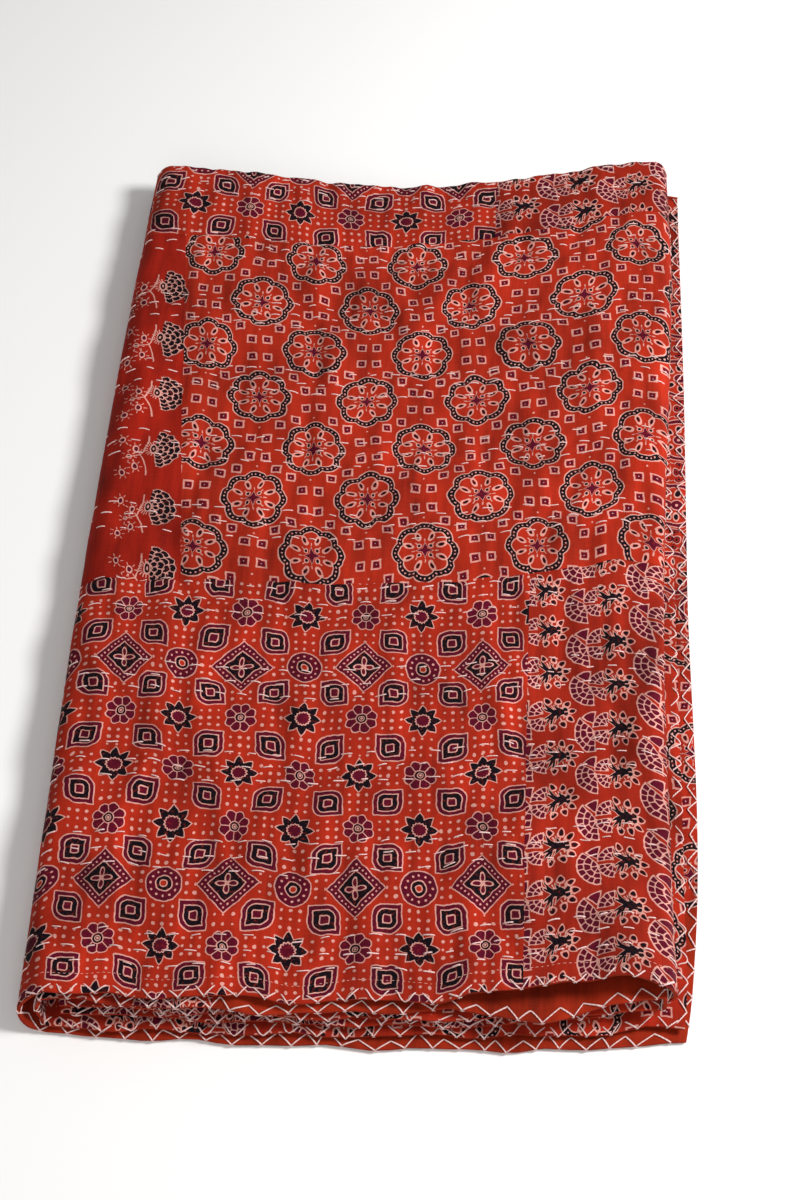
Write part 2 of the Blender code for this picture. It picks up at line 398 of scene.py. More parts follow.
def starPrint(n, p):
    # 44.5 mm cells of stars, flowers, diamonds and circles, with an almond at each corner
    cell = 44.5
    scaled = vec(n, "ADD", vec(n, "DIVIDE", p, (cell, cell, 1)), (0.5, 0.5, 0))
    column, row = axes(n, vec(n, "FLOOR", scaled))
    local = vec(n, "WRAP", p, (cell / 2, cell / 2, 1), (-cell / 2, -cell / 2, -1))
    local = vec(n, "MULTIPLY", local, (1, 1, 0))
    x, y = axes(n, local)
    absX, absY = n("ABSOLUTE", x), n("ABSOLUTE", y)
    far, near = n("MAXIMUM", absX, absY), n("MINIMUM", absX, absY)
    r = vec(n, "LENGTH", local)
    angle = n("ARCTAN2", y, x)
    odd = n("GREATER_THAN", n("FLOORED_MODULO", n("ADD", column, row), 2.0), 0.5)
    special = n("COMPARE", n("FLOORED_MODULO", row, 4.0), 1.0, 0.3)
    k = n("PINGPONG", n("MULTIPLY", angle, 4 / pi), 0.5)

    petalEdge = n("MULTIPLY_ADD", n("SINE", n("MULTIPLY", k, pi)), -1.9, n("SUBTRACT", r, 10.1))
    petals = inkBands(n, petalEdge, maroon, (-0.8, cream), 0.05)
    spokeAway = n("ADD", fromSpoke(n, angle, r, 8), n("LESS_THAN", r, 3.5))
    spokes = n("MULTIPLY", n("LESS_THAN", spokeAway, 0.34), n("LESS_THAN", petalEdge, 0.0))
    heart = inkBands(n, r, cream, (0.9, black), (1.5, cream), (2.1, black), (3.5, cream), 4.2)
    flower = n("MULTIPLY_ADD", n("MAXIMUM", petals, spokes), n("GREATER_THAN", r, 4.2), heart)

    pointEdge = n("MULTIPLY", n("MULTIPLY_ADD", k, 10.0, n("SUBTRACT", r, 14.3)), 0.78)
    points = inkBands(n, pointEdge, black, (-0.85, cream), 0.0)
    eyeEdge = n("MULTIPLY_ADD", n("COSINE", n("MULTIPLY", angle, 14.0)), 0.35, r)
    eye = inkBands(n, eyeEdge, maroon, (4.7, cream), 5.7)
    star = n("MULTIPLY_ADD", points, n("GREATER_THAN", eyeEdge, 5.7), eye)

    discBands = ((1.9, cream), (2.7, black), (5.0, cream), (5.8, maroon), (12.2, cream), 13.1)
    disc = inkBands(n, r, ground, *discBands)
    beads = n("LESS_THAN", spread(n, n("SUBTRACT", r, 9.1), fromSpoke(n, angle, r, 12)), 0.85)
    circle = n("MAXIMUM", disc, beads)

    sum1 = n("ADD", absX, absY)
    frameBands = inkBands(n, sum1, black, (12.8, cream), (13.9, maroon), (21.2, cream), 22.3)
    dotAlong = n("MULTIPLY", n("PINGPONG", n("SUBTRACT", n("SUBTRACT", absX, absY), 2.5), 2.5), 0.707)
    dotAcross = n("MULTIPLY", n("SUBTRACT", sum1, 17.5), 0.707)
    frameDots = n("LESS_THAN", spread(n, dotAlong, dotAcross), 0.72)
    petal = spread(n, n("DIVIDE", n("SUBTRACT", far, 4.3), 4.1), n("DIVIDE", near, 2.1))
    fourPetals = inkBands(n, petal, maroon, (0.68, cream), 1.0)
    diamond = n("MULTIPLY_ADD", frameBands, n("GREATER_THAN", petal, 1.0), fourPetals)
    diamond = n("MAXIMUM", diamond, frameDots)

    motif = n("Mix", special, None, n("Mix", odd, None, flower, star), n("Mix", odd, None, circle, diamond))

    # the quarter of each corner's almond: its sharp corner shows in even cells, its round one in odd cells
    almondStart, radius = cell / 2 - 11.1, n("MULTIPLY_ADD", odd, 9.0, 0.7)
    cornerX, cornerY = (n("ADD", n("SUBTRACT", almondStart, side), radius) for side in (absX, absY))
    outside = spread(n, n("MAXIMUM", cornerX, 0.0), n("MAXIMUM", cornerY, 0.0))
    insideEdge = n("MINIMUM", n("MAXIMUM", cornerX, cornerY), 0.0)
    almondEdge = n("SUBTRACT", n("ADD", outside, insideEdge), radius)
    almondBands = ((-8.6, cream), (-7.7, black), (-4.3, cream), (-3.5, maroon), (-0.9, cream), 0.0)
    almond = inkBands(n, almondEdge, maroon, *almondBands)

    # three by three dots of uneven size at the middle of each side of a cell
    dotStep = cell / 7
    dotFar = n("MULTIPLY", n("ADD", n("FLOOR", n("DIVIDE", far, dotStep)), 0.5), dotStep)
    dotNear = n("MULTIPLY", n("ROUND", n("DIVIDE", near, dotStep)), dotStep)
    dotSize = n("MULTIPLY_ADD", noise(n, p, 0.11, 0.0), 1.5, 0.42)
    dots = n("LESS_THAN", spread(n, n("SUBTRACT", far, dotFar), n("SUBTRACT", near, dotNear)), dotSize)
    kept = n("MULTIPLY", n("GREATER_THAN", dotFar, 15.0), n("LESS_THAN", dotNear, 8.0))
    onDiamond = n("MULTIPLY", n("MULTIPLY", odd, special), n("LESS_THAN", n("ADD", dotFar, dotNear), 25.0))
    dots = n("MULTIPLY", n("MULTIPLY", dots, kept), n("SUBTRACT", 1.0, onDiamond))
    return mostOf(n, motif, almond, dots)


def halfDrop(n, p, width, height):
    # place from the nearest point of a half-drop repeat, and how far it is
    half = (width / 2, height / 2, 1)
    low = tuple(-h for h in half)
    first = vec(n, "WRAP", p, half, low)
    second = vec(n, "WRAP", vec(n, "ADD", p, (width / 2, height / 2, 0)), half, low)
    flat1, flat2 = (vec(n, "MULTIPLY", place, (1, 1, 0)) for place in (first, second))
    far1, far2 = vec(n, "LENGTH", flat1), vec(n, "LENGTH", flat2)
    nearer = n("LESS_THAN", far2, far1)
    local = n("Mix", nearer, named={4: flat1, 5: flat2}, data_type="VECTOR", out=1)
    return local, n("MINIMUM", far1, far2), flat1


def boxAt(n, absX, absY, x, y):
    return n("MAXIMUM", n("ABSOLUTE", n("SUBTRACT", absX, x)), n("ABSOLUTE", n("SUBTRACT", absY, y)))


def rosettePrint(n, p):
    # 54 mm beaded rosettes in a half-drop of 90 by 100 mm, with small squares between them
    local, r, cornerLocal = halfDrop(n, p, 90, 100)
    x, y = axes(n, local)
    absX, absY = n("ABSOLUTE", x), n("ABSOLUTE", y)
    angle = n("ARCTAN2", y, x)
    k = n("PINGPONG", n("MULTIPLY", angle, 4 / pi), 0.5)
    ringEdge = n("ADD", n("SUBTRACT", r, 27.0), n("MULTIPLY", n("MULTIPLY", k, k), 12.0))
    ring = inkBands(n, ringEdge, ground, (-6.4, cream), (-5.5, black), (-0.95, cream), 0.0)
    beads = n("LESS_THAN", spread(n, n("ADD", ringEdge, 3.2), fromSpoke(n, angle, r, 44)), 0.66)
    seedAside = n("MULTIPLY", n("MULTIPLY", n("SUBTRACT", 0.5, k), pi / 4), r)
    seed = spread(n, n("DIVIDE", n("SUBTRACT", r, 14.2), 4.8), n("DIVIDE", seedAside, 2.4))
    seeds = inkBands(n, seed, black, (0.45, ground), (0.56, cream), 1.0)
    ticks = rays(n, angle, r, 8, 0.4, 7.9, 10.7)
    starEdge = n("MULTIPLY_ADD", n("MINIMUM", absX, absY), 1.5, n("ADD", absX, absY))
    star = inkBands(n, starEdge, maroon, (6.6, cream), 7.4)
    studs = spread(n, n("SUBTRACT", absX, 4.5), n("SUBTRACT", absY, 4.2))
    studs = inkBands(n, studs, black, (1.25, cream), 2.05)
    # the squares stand between rosettes, so they are laid out about one in each corner of the repeat
    cornerX, cornerY = axes(n, vec(n, "ABSOLUTE", cornerLocal))
    squares = ((38.6, 8.8), (6.4, 41.2), (16.2, 28.2), (28.8, 21.8))
    squares = reduce(partial(n, "MINIMUM"), [boxAt(n, cornerX, cornerY, *place) for place in squares])
    squares = inkBands(n, squares, cream, (0.42, maroon), (2.3, ground), (2.75, cream), 4.0)
    pips = [
        n("LESS_THAN", spread(n, n("SUBTRACT", cornerX, pipX), n("SUBTRACT", cornerY, pipY)), 0.8)
        for pipX, pipY in ((0.0, 31.0), (45.0, 19.0))
    ]
    return mostOf(n, ring, beads, seeds, ticks, star, studs, squares, *pips)


def treePrint(n, p):
    # small trees lying on their sides in a drop of 50 by 38 mm, each with a large and two small fans
    width, height, drop = 50.0, 38.0, 14.3
    x, y = axes(n, p)
    column = n("ROUND", n("DIVIDE", x, width))
    treeX = n("MULTIPLY_ADD", column, -width, x)
    treeY = n("WRAP", n("MULTIPLY_ADD", column, drop, y), 18.3, 18.3 - height)
    leafX, leafY = n("SUBTRACT", treeX, 1.0), n("ADD", treeY, 1.0)
    leafR = spread(n, leafX, leafY)
    leafAngle = n("SUBTRACT", n("ARCTAN2", leafY, leafX), radians(5))
    absAngle = n("ABSOLUTE", leafAngle)
    aside = n("MULTIPLY", n("PINGPONG", leafAngle, radians(19.25)), leafR)
    pastSide = n("GREATER_THAN", absAngle, radians(96))
    leafOut = n("SUBTRACT", leafR, n("MULTIPLY_ADD", pastSide, 2.4, 11.3))
    leaf = spread(n, n("DIVIDE", leafOut, 3.6), n("DIVIDE", aside, n("MULTIPLY_ADD", leafOut, -0.3, 2.8)))
    leaves = inkBands(n, leaf, black, (0.55, ground), (0.68, cream), 1.0)
    twigs = n("MULTIPLY", n("LESS_THAN", aside, 0.45), n("COMPARE", leafR, 6.9, 2.0))
    onHead = n("LESS_THAN", absAngle, radians(134))
    leaves, twigs = n("MULTIPLY", leaves, onHead), n("MULTIPLY", twigs, onHead)
    # the trunk thickens at its forked foot, and its thorns lean back and shorten towards the tip
    folded = n("ABSOLUTE", n("ADD", treeY, n("MULTIPLY_ADD", treeX, -0.06, 0.3)))
    toFoot = n("SUBTRACT", -4.0, treeX)
    thick = n("MULTIPLY_ADD", n("MAXIMUM", toFoot, 0.0), 0.45, 2.8)
    thornPlace = n("ADD", n("MULTIPLY_ADD", folded, 0.68, treeX), 2.0)
    thorn = n("MAXIMUM", n("MULTIPLY_ADD", n("PINGPONG", thornPlace, 2.9), -1 / 1.9, 1.0), 0.0)
    thorn = n("MULTIPLY", thorn, n("MULTIPLY_ADD", thornPlace, -0.28, 5.9))
    trunk = n("MULTIPLY", n("SUBTRACT", folded, n("ADD", thick, thorn)), 0.5)
    fork = n("MULTIPLY_ADD", toFoot, 0.75, n("MULTIPLY", folded, -1.0))
    trunk = n("MAXIMUM", trunk, n("MAXIMUM", fork, n("SUBTRACT", n("ABSOLUTE", n("ADD", treeX, 0.4)), 9.2)))
    bough = n("SUBTRACT", n("ABSOLUTE", n("MULTIPLY_ADD", treeY, -0.24, n("ADD", treeX, 2.4))), 0.8)
    bough = n("MAXIMUM", bough, n("SUBTRACT", n("ABSOLUTE", n("ADD", treeY, 7.0)), 5.4))
    wood = inkBands(n, n("MINIMUM", trunk, bough), black, (0.0, cream), 0.6)

    foldedY = n("SUBTRACT", n("ABSOLUTE", n("ADD", treeY, 2.4)), 1.5)
    foldedPlace = n("CombineXYZ", n("SUBTRACT", -10.2, treeX), foldedY, 0.0)
    smallFans = fanBlossom(n, foldedPlace, (0, 0), 45, 44, 11.4, 4.6, 4, maroon, widening=0.6, line=0.28)

    fanColumn = n("ROUND", n("DIVIDE", n("ADD", x, 29.0), width))
    fanY = n("WRAP", n("MULTIPLY_ADD", fanColumn, drop, y), 14.3, 14.3 - height)
    fanPlace = n("CombineXYZ", n("MULTIPLY_ADD", fanColumn, -width, x), fanY, 0.0)
    bigFan = fanBlossom(n, fanPlace, (-20.3, -4.2), 203, 67, 16.4, 4.8, 7, maroon, widening=0.75, line=0.31)
    bud = fanBlossom(n, fanPlace, (-21.5, 1.2), 112, 32, 10.5, 9.5, 1, maroon)
    return mostOf(n, leaves, twigs, wood, smallFans, bigFan, bud)


def lotusPrint(n, p):
    # thistle-like lotus heads lying on their sides, 58 mm apart, each with a bracket stem and five sprigs
    x, y = axes(n, p)
    width, height = 74.0, 58.0
    column = n("ROUND", n("DIVIDE", n("ADD", x, 14.0), width))
    localX = n("MULTIPLY_ADD", column, -width, x)
    localY = n("WRAP", n("MULTIPLY_ADD", column, height / 2, y), height / 2 - 9, -height / 2 - 9)
    place = n("CombineXYZ", localX, localY, 0.0)
    petals = {"scallop": 1.6, "line": 0.33, "widening": 0.28, "narrowing": 0.22}
    head = fanBlossom(n, place, (-10.5, 0), 0, 78, 22.0, 4.4, 7, black, **petals)
    fromCup = n("ADD", localX, 10.6)
    cupR = spread(n, fromCup, localY)
    cup = spread(n, n("DIVIDE", fromCup, 2.6), n("DIVIDE", localY, 4.4))
    cupInk = inkBands(n, cup, cream, (0.32, black), (0.82, cream), 1.15)
    head = n("MULTIPLY_ADD", head, n("GREATER_THAN", cup, 1.15), cupInk)
    hairs = rays(n, n("ARCTAN2", localY, fromCup), cupR, 18, 0.38, 4.2, 7.4)
    hairs = n("MULTIPLY", hairs, n("LESS_THAN", fromCup, 0.5))

    fromTip = n("ADD", localY, 7.0)
    reach = n("MINIMUM", n("DIVIDE", n("ABSOLUTE", fromTip), 19.5), 1.0)
    bend = n("MULTIPLY", n("MULTIPLY", reach, n("SUBTRACT", 2.0, reach)), 6.0)
    bracket = n("LESS_THAN", n("ABSOLUTE", n("SUBTRACT", n("ADD", localX, 20.5), bend)), 0.6)
    bracket = n("MULTIPLY", bracket, n("LESS_THAN", reach, 0.99))
    stalk = n("LESS_THAN", n("ABSOLUTE", n("MULTIPLY_ADD", n("ADD", localX, 20.0), -0.35, fromTip)), 0.5)
    stalk = n("MULTIPLY", stalk, n("COMPARE", localX, -26.0, 6.0))
    folded = n("ABSOLUTE", n("ADD", localY, 10.2))
    sprigs = []
    for budX, budY, wide, high in ((-24.6, 8.6, 2.5, 3.4), (-35.0, 16.0, 2.4, 3.2), (-29.5, 0.0, 2.0, 2.2)):
        fromX, fromY = n("SUBTRACT", localX, budX), n("SUBTRACT", folded, budY)
        bud = spread(n, n("DIVIDE", fromX, wide), n("DIVIDE", fromY, high))
        sprigs.append(inkBands(n, bud, maroon if budY else black, (0.62, cream), 1.0))
        sprigs.append(rays(n, n("ARCTAN2", fromY, fromX), spread(n, fromX, fromY), 7, 0.33, 3.8, 6.2))
    return mostOf(n, head, hairs, bracket, stalk, *sprigs)


def medallionPrint(n, p):
    # banded medallions in a half-drop of 56 by 66 mm
    local, r, _ = halfDrop(n, p, 56, 66)
    x, y = axes(n, local)
    angle = n("ARCTAN2", y, x)
    heart = inkBands(n, r, cream, (1.3, maroon), (4.2, cream), 5.1)
    aside = fromSpoke(n, angle, r, 8)
    drop = spread(n, n("DIVIDE", n("SUBTRACT", r, 11.0), 4.2), n("DIVIDE", aside, 2.9))
    drops = inkBands(n, drop, black, (0.66, cream), 1.0)
    band = inkBands(n, r, ground, (16.6, cream), (17.5, maroon), (20.3, cream), 21.2)
    aside = fromSpoke(n, angle, r, 12)
    leaf = spread(n, n("DIVIDE", n("SUBTRACT", r, 25.6), 3.4), n("DIVIDE", aside, 4.4))
    leaves = inkBands(n, leaf, black, (0.3, ground), (0.5, maroon), (0.8, cream), 1.0)
    return mostOf(n, heart, drops, band, leaves)


# print inks, dye and slub of hand block-printed cotton; hex values are sRGB
printing = {
    "ground": "#B52B15",
    "treeGround": "#A22512",
    "deepGround": "#A41F0F",
    "maroon": "#5E0722",
    "black": "#120912",
    "cream": "#E5A497",
    "reverse": "#A12A10",
    "wobble": 2.2,
    "drift": 12,
    "roughness": 0.9,
    "specular": 0.12,
}


def blockPrintedCotton(name, pattern, groundInk):
    # Light plain-weave cotton, wood-block printed by hand: a matt, slightly streaky dye with wavering
    # outlines, whose clouds and streaks are partly uneven dye and partly painted shade of the cloth's
    # troughs. The resist lines stay pinkish cream, and the darker inks cover a little unevenly.
    material, n = newMaterial(name)
    cloth = vec(n, "MULTIPLY", n("UVMap", uv_map="flatCloth"), (1000, 1000, 0))
    # uneven dye with painted shade: broad clouds and streaks 12 by 70 mm, partly dye and partly painted
    # shade of the long troughs, and slubs 14 by 1.1 mm in the weave
    dyeCloudsAndShade = noise(n, cloth, 0.013, 3.0)
    dyeStreaksAndTroughShade, weft, warp = (
        noise(n, vec(n, "DIVIDE", cloth, (wide, high, 1)), 1.0)
        for wide, high in ((12, 70), (14, 1.1), (1.3, 18))
    )
    slub = n("ADD", weft, warp)
    # the clouds and streaks darken the colour: partly uneven dye, partly painted shade of the troughs
    shade = n("MULTIPLY_ADD", dyeCloudsAndShade, 0.85, n("MULTIPLY_ADD", dyeStreaksAndTroughShade, 1.05, -0.49))
    shade = n("MULTIPLY_ADD", slub, 0.26, shade)
    if pattern:
        printed = vec(n, "MULTIPLY", n("UVMap", uv_map="print"), (1000, 1000, 0))
        # the rows of motifs drift by about two millimetres and their outlines waver by half of one
        for scale, detail, reach in ((0.009, 1.0, printing["drift"]), (0.15, 2.0, printing["wobble"])):
            away = vec(n, "SUBTRACT", noise(n, cloth, scale, detail, out=1), (0.5, 0.5, 0.5))
            printed = vec(n, "MULTIPLY_ADD", away, (reach,) * 3, printed)
        ink = pattern(n, printed)
        dyes = [(0.17, printing["maroon"]), (0.5, printing["black"]), (0.83, printing["cream"])]
        stops = [(at, toLinear(code)) for at, code in [(0.0, groundInk), *dyes]]
        colour = n("ValToRGB", ink, stops=stops)
        colour.node.color_ramp.interpolation = "CONSTANT"
        # a little of the ground shows where a block left less ink
        thin = n("MapRange", noise(n, cloth, 0.42), 0.56, 0.74, 0.0, 0.45)
        colour = n("Mix", thin, named={6: colour, 7: toLinear(groundInk)}, data_type="RGBA", out=2)
    else:
        colour = toLinear(groundInk)
    colour = darkened(n, colour, shade)
    # the weave, drawn at 1.2 mm so that it shows at all
    weave = n("MULTIPLY", *[n("SINE", n("MULTIPLY", part, 2 * pi / 1.2)) for part in axes(n, cloth)])
    height = n("MULTIPLY_ADD", slub, 1.4, weave)
    bump = n("Bump", 0.35, named={"Distance": 0.00016, "Height": height})
    finish = {"Roughness": printing["roughness"], "Specular IOR Level": printing["specular"], "Normal": bump}
    n("OutputMaterial", n("BsdfPrincipled", colour, named=finish))
    return material


cottons = {
    name: blockPrintedCotton(title, pattern, printing[groundInk])
    for name, title, pattern, groundInk in (
        ("star", "Cotton printed with stars", starPrint, "ground"),
        ("rosette", "Cotton printed with rosettes", rosettePrint, "ground"),
        ("tree", "Cotton printed with trees", treePrint, "treeGround"),
        ("lotus", "Cotton printed with lotus heads", lotusPrint, "deepGround"),
        ("dyed", "Deep red dyed cotton", None, "deepGround"),
        ("medallion", "Cotton printed with medallions", medallionPrint, "ground"),
        ("plain", "Plain dyed cotton", None, "reverse"),
    )
}
print("cottons made")


# the rows along the sheet, and each row's patches: where it starts across, its print and its reverse
patchwork = {
    "rows": (0, 0.1, 0.343, 0.666, 0.719, 0.88, 1.24, 2),
    "patches": (
        ((-1, "rosette", "plain"), (-0.48, "star", "plain"), (0.114, "tree", "tree")),
        (
            (-1, "rosette", "rosette"), (-0.62, "rosette", "plain"),
            (-0.48, "star", "plain"), (0.114, "tree", "tree"),
        ),
        ((-1, "medallion", "medallion"), (-0.45, "lotus", "plain"), (-0.1775, "rosette", "plain")),
        ((-1, "medallion", "medallion"), (-0.45, "dyed", "plain"), (-0.1775, "rosette", "plain")),
        ((-1, "tree", "tree"), (-0.33, "star", "plain"), (0.075, "tree", "tree")),
        ((-1, "medallion", "plain"), (-0.45, "lotus", "plain"), (-0.05, "rosette", "plain")),
        (
            (-1, "rosette", "plain"), (-0.46, "tree", "tree"), (-0.1, "star", "plain"),
            (0.225, "rosette", "plain"), (0.5, "tree", "plain"),
        ),
    ),
    # how a print lies where it shows, by pair of rows. It leaves out this share of the hem's bow, follows
    # that share of the front seam's, and its columns swing upright between turnFrom and the hem.
    "lay": {
        ("star", 0): {
            "origin": (-0.0032, 0.0403), "slant": 0.034, "stretch": (44.5 / 44.9, 44.5 / 46.2),
            "hemBow": 0.6, "seamBow": 0.9,
        },
        ("tree", 0): {
            "origin": (0.1506, 0.2590), "slant": 0.064, "stretch": (50 / 49.5, 38 / 38.6),
            "turn": 0.055, "turnFrom": 0.22,
        },
        ("rosette", 1): {
            "origin": (0.0535, 0.4831), "slant": 0.064, "stretch": (1.0, 100 / 104.3), "seamBow": -0.3,
        },
        ("lotus", 1): {"origin": (-0.1393, 0.4727), "slant": 0.093, "stretch": (1.0, 58 / 58.2)},
        ("star", 2): {"origin": (-0.1061, 0.7470), "slant": 0.054, "stretch": (44.5 / 47.5, 44.5 / 48.5)},
        ("tree", 2): {"origin": (0.1458, 0.7540), "slant": 0.064, "stretch": (50 / 47.6, 38 / 40)},
    },
}
usualLay = {
    "origin": (0.011, 0.023), "slant": 0.05, "stretch": (1.0, 1.0),
    "hemBow": 0, "seamBow": 0, "turn": 0, "turnFrom": 0,
}
faceInks = sorted({patch[1:] for patches in patchwork["patches"] for patch in patches})


def stations(*runs):
    # places in order, each run from its first value on in its number of steps
    places = [np.linspace(low, high, steps + 1)[:-1] for low, high, steps in runs]
    return np.append(np.concatenate(places), runs[-1][1])


def moveNearest(places, *seamsHere):
    for seam in seamsHere:
        places[np.argmin(abs(places - seam))] = seam
    return places


# across, the runs are the bottom panel, its turn, the top panel, its turn and the inner panel
acrossStations = stations(
    (acrossLow, leftTurn - leftArc, 34),
    (leftTurn - leftArc, leftTurn, 16),
    (leftTurn, rightTurn, 104),
    (rightTurn, rightTurn + rightArc, 12),
    (rightTurn + rightArc, acrossHigh, 20),
)
acrossSeams = {start for patches in patchwork["patches"] for start, _, _ in patches if start > -1}
acrossStations = moveNearest(acrossStations, *sorted(acrossSeams))
# along, side A has stations on every row and at each third between, and the hidden side B far fewer
step = sheet["rowPitch"] / 3
legStations = sheet["groupFirst"] + step * np.arange(-8, 183)
legStations = np.append(0.0, legStations[legStations < leg - step / 2])
legB = alongEnd - stations((0, 0.06, 10), (0.06, 0.19, 7), (0.19, 0.54, 18), (0.54, leg, 12))
backStations = stations((leg, leg + backArc, 9))
alongStations = np.concatenate((legStations, backStations, legB[::-1][1:]))
alongStations = moveNearest(alongStations, *patchwork["rows"][1:7])


def makeCloth():
    columns, rows = len(acrossStations), len(alongStations)
    bm = bmesh.new()
    bmesh.ops.create_grid(bm, x_segments=columns - 1, y_segments=rows - 1, size=0.5)
    cells = np.array([vert.co[:2] for vert in bm.verts]) + 0.5
    i = np.rint(cells[:, 0] * (columns - 1)).astype(int)
    j = np.rint(cells[:, 1] * (rows - 1)).astype(int)
    across, along = acrossStations[i], alongStations[j]
    # the seams carry the mesh with them
    nearFront, nearBack, nearLotus = (
        np.clip(1 - abs(place - seams[seam]) / seams["reach"], 0, 1)
        for place, seam in ((along, "front"), (along, "back"), (across, "lotus"))
    )
    outOfRow = np.maximum(seams["front"] - along, along - seams["back"])
    front, back, lotus = seamShifts(across, along)
    slideAcross = lotus * nearLotus * (1 - ease(0, seams["reach"], outOfRow))
    slideFront, slideBack = front * nearFront, back * nearBack
    moved = np.stack((across + slideAcross, along + (slideFront + slideBack)), axis=1)
    for vert, place in zip(bm.verts, clothPlace(*moved.T)):
        vert.co = place

    mesh = meshFrom(bm, "quilt")
    mesh.shade_smooth()
    for name in [face for face, _ in faceInks] + [reverse for _, reverse in faceInks] + ["plain"]:
        mesh.materials.append(cottons[name])

    # how far the cloth is drawn back by the top hem, where its rows of stars stay straight
    setback = smooth(sheet["hemAt"], sheet["hemSetback"][1][0], np.clip(across, -0.2, 0.2)) / 1000
    hemBow = (setback - sheet["usualSetback"]) * np.clip(1 - along / leg, 0, 1) ** 2

    # which patch each face is in, and where its corners are on that patch's print
    corners = np.zeros(len(mesh.loops), int)
    mesh.loops.foreach_get("vertex_index", corners)
    corners = corners.reshape(-1, 4)
    faceAcross, faceAlong = across[corners].mean(axis=1), along[corners].mean(axis=1)
    flat, hemBow, slideFront = moved[corners], hemBow[corners], slideFront[corners]
    # the prints of the top panel stay where they are while its hem hangs lower
    fall = hemFall(np.clip(flat[..., 0], leftTurn, rightTurn), flat[..., 1], 1, 1)
    printed = np.zeros_like(flat)
    slots = np.zeros(len(corners), int)
    for row, patches in enumerate(patchwork["patches"]):
        inRow = (faceAlong > patchwork["rows"][row]) & (faceAlong < patchwork["rows"][row + 1])
        for k, (start, name, reverse) in enumerate(patches):
            end = patches[k + 1][0] if k + 1 < len(patches) else 9
            mine = inRow & (faceAcross > start) & (faceAcross < end)
            slots[mine] = faceInks.index((name, reverse))
            lay = {**usualLay, **patchwork["lay"].get((name, row // 2), {})}
            x, y = flat[mine, :, 0], flat[mine, :, 1] - fall[mine]
            x = x + lay["slant"] * y + lay["turn"] * np.maximum(lay["turnFrom"] - y, 0)
            y = y + lay["hemBow"] * hemBow[mine] - lay["seamBow"] * slideFront[mine]
            printed[mine] = (np.stack((x, y), axis=2) - lay["origin"]) * lay["stretch"]
    mesh.polygons.foreach_set("material_index", slots)
    for name, places in (("print", printed), ("flatCloth", flat)):
        mesh.uv_layers.new(name=name).data.foreach_set("uv", places.ravel())

    quilt = newObject("quilt", mesh)
    wadding = quilt.modifiers.new("Wadding", "SOLIDIFY")
    wadding.thickness = sheet["thickness"]
    wadding.offset = 0
    wadding.material_offset = len(faceInks)
    wadding.material_offset_rim = 2 * len(faceInks)  # past the last slot, so the hems' edges are all plain
    rounding = quilt.modifiers.new("Rounded hems", "BEVEL")
    rounding.width = sheet["hemRound"]
    rounding.segments = 2
    rounding.limit_method = "ANGLE"
    rounding.angle_limit = radians(55)
    return quilt


quilt = makeCloth()
print("cloth folded:", len(quilt.data.polygons), "faces before thickness")


def cottonThread(name, code, twist):
    # Two-ply cotton embroidery floss: soft, matt and slightly fuzzy, its plies twisted so that the
    # light catches it in short slanting ridges, which are also painted faintly into its colour as painted
    # shade and highlight. The attribute lay holds the way round and along it.
    material, n = newMaterial(name)
    lay = n("SeparateXYZ", n("Attribute", attribute_name="lay", out=1)).node.outputs
    turn = n("MULTIPLY_ADD", lay[2], 2 * pi / twist, n("MULTIPLY", n("ARCTAN2", lay[1], lay[0]), 2.0))
    ridge = n("SINE", turn)
    fuzz = noise(n, n("TexCoord", out=3), 900.0, 1.0)
    # the twist's ridges shift the colour a little as painted shade and highlight; the fuzz is uneven tone
    shade = n("MULTIPLY_ADD", ridge, 0.05, n("MULTIPLY_ADD", fuzz, 0.14, 0.9))
    colour = darkened(n, toLinear(code), shade)
    bump = n("Bump", 0.5, named={"Distance": 0.0002, "Height": ridge})
    finish = {"Roughness": 0.7, "Sheen Weight": 0.15, "Normal": bump}
    n("OutputMaterial", n("BsdfPrincipled", colour, named=finish))
    return material


threads = {
    "quilting": cottonThread("Cotton quilting thread", "#EBC6C1", 1.9),
    "sewing": cottonThread("Cotton sewing thread", "#E9A796", 0.9),
}
stitching = {
    "groups": 11,
    "fromHem": 0.016,
    "pastFold": 0.02,
    "fromEdge": 0.012,
    "stagger": 0.014,
    "length": (0.0068, 0.0112),
    "gap": 0.0080,
    "gapShare": (0.75, 1.3),
    "drift": 0.0016,
    "sway": 0.0004,
    "lean": 0.00045,
    "halfWidth": 0.00058,
    "halfHeight": 0.00050,
    "cuts": 4,
    "sides": 6,
}
overcast = {
    "pitch": 0.0195,
    "reach": 0.0070,
    "gap": 0.0017,
    "gapShare": (0.3, 0.8),
    "fromCorner": 0.003,
    "holeSway": 0.0015,
    "depthSway": 0.0012,
    "turnSway": 0.0011,
    "bows": (0.0006, 0.0015, 0.0028),
    "halfWidth": 0.00054,
    "halfHeight": 0.00048,
    "cuts": 9,
    "sides": 5,
}
machineLine = {
    "fromCorners": (0.014, 0.016),
    "inset": 0.0136,
    "length": 0.0030,
    "period": 0.0038,
    "halfWidth": 0.00026,
    "halfHeight": 0.0002,
    "cuts": 1,
    "sides": 4,
}


def onPaths(paths, t):
    # each path's points at these shares of its way
    knots = paths.shape[1] - 1
    k = np.clip((t * knots).astype(int), 0, knots - 1)
    f = (t * knots - k)[None, :, None]
    return paths[:, k] * (1 - f) + paths[:, k + 1] * f


